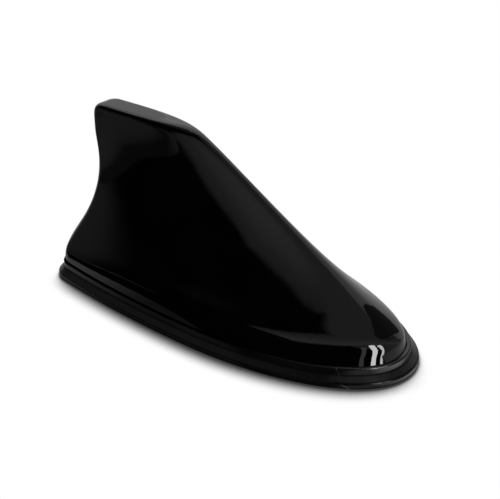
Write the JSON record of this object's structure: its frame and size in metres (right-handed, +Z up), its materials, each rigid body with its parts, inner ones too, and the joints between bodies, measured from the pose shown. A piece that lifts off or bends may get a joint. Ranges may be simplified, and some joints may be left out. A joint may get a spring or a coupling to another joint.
{
  "type": "shark fin aerial",
  "caption": "Low roof aerial for a car: a hollow swept fin moulded in gloss black on a stepped rubber gasket, with its radiator and amplifier inside and a foam pad below.",
  "frame": {"origin": "middle of the bounding box at the level of the gasket's foot, on the symmetry plane", "axes": "+X forwards to the nose, +Y to the car's left, +Z up from the roof"},
  "size_m": [0.16, 0.0724, 0.0722],
  "materials": {
    "gloss_shell": "polished",
    "black_rubber": "matte",
    "tray_plastic": "satin",
    "foam": "matte",
    "screw_steel": "satin",
    "ground_sheet": "satin",
    "circuit_board": "satin",
    "copper": "satin",
    "tinned_sheet": "satin",
    "chip_body": "matte",
    "ceramic_body": "satin",
    "capacitor_can": "satin",
    "gold_plate": "satin"
  },
  "bodies": {
    "root": {"fin_cover": "gloss_shell", "base_gasket": "black_rubber", "base_plate": "tray_plastic", "adhesive_pad": "foam", "cover_screws": "screw_steel", "cable_grommet": "black_rubber", "ground_plate": "ground_sheet", "amplifier_board": "circuit_board", "board_screws": "screw_steel", "ground_contacts": "gold_plate", "radiator_board": "circuit_board", "radiator_trace": "copper", "top_load_plate": "tinned_sheet", "radiator_bracket": "tray_plastic", "feed_spring": "gold_plate", "shield_can": "tinned_sheet", "amplifier_chip": "chip_body", "chip_capacitors": "ceramic_body", "filter_coils": "copper", "electrolytic_capacitor": "capacitor_can", "cable_socket": "gold_plate"}
  },
  "joints": []
}
